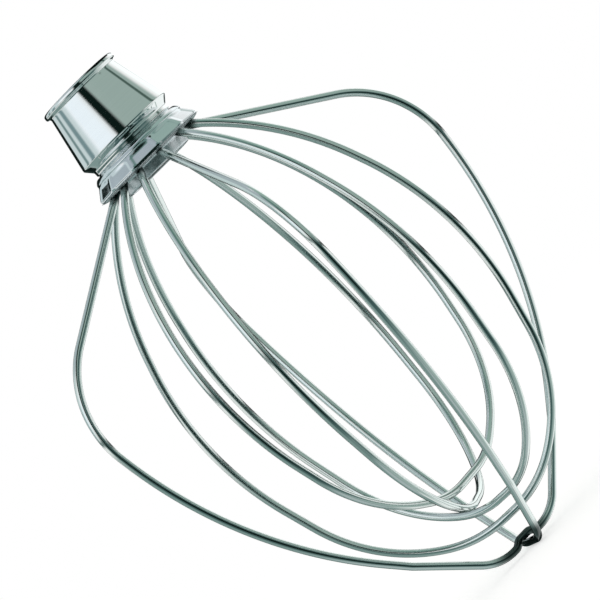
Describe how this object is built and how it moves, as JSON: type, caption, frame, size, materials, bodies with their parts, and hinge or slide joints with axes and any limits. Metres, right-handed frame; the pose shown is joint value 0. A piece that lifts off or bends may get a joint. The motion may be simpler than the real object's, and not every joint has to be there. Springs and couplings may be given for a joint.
{
  "type": "wire whip attachment",
  "caption": "Balloon whip for a stand mixer: nested loops of round wire held in a flared hub with a blind shaft bore and a bayonet slot for the shaft's cross pin.",
  "frame": {"origin": "centre of the shaft bore's mouth", "axes": "+Z out of the bore towards the mixer, with the wire cage hanging along -Z; +Y through the straight run of the bayonet slot; +X to the right of it when seen from the side away from the slot"},
  "size_m": [0.1328, 0.1355, 0.1854],
  "materials": {
    "polished_shell": "polished",
    "machined_sleeve": "machined",
    "cast_core": "fine cast, tumbled",
    "pressed_skirt": "polished",
    "spring_ring": "spring steel, dull",
    "polished_wire": "drawn and polished"
  },
  "bodies": {
    "root": {"hub_shell": "polished_shell", "shaft_sleeve": "machined_sleeve", "wire_core": "cast_core", "wire_skirt": "pressed_skirt", "retaining_ring": "spring_ring", "shoulder_wire": "polished_wire", "tip_wire": "polished_wire", "inner_wire_deepest": "polished_wire", "inner_wire_second": "polished_wire", "inner_wire_third": "polished_wire", "inner_wire_shortest": "polished_wire"}
  },
  "joints": []
}
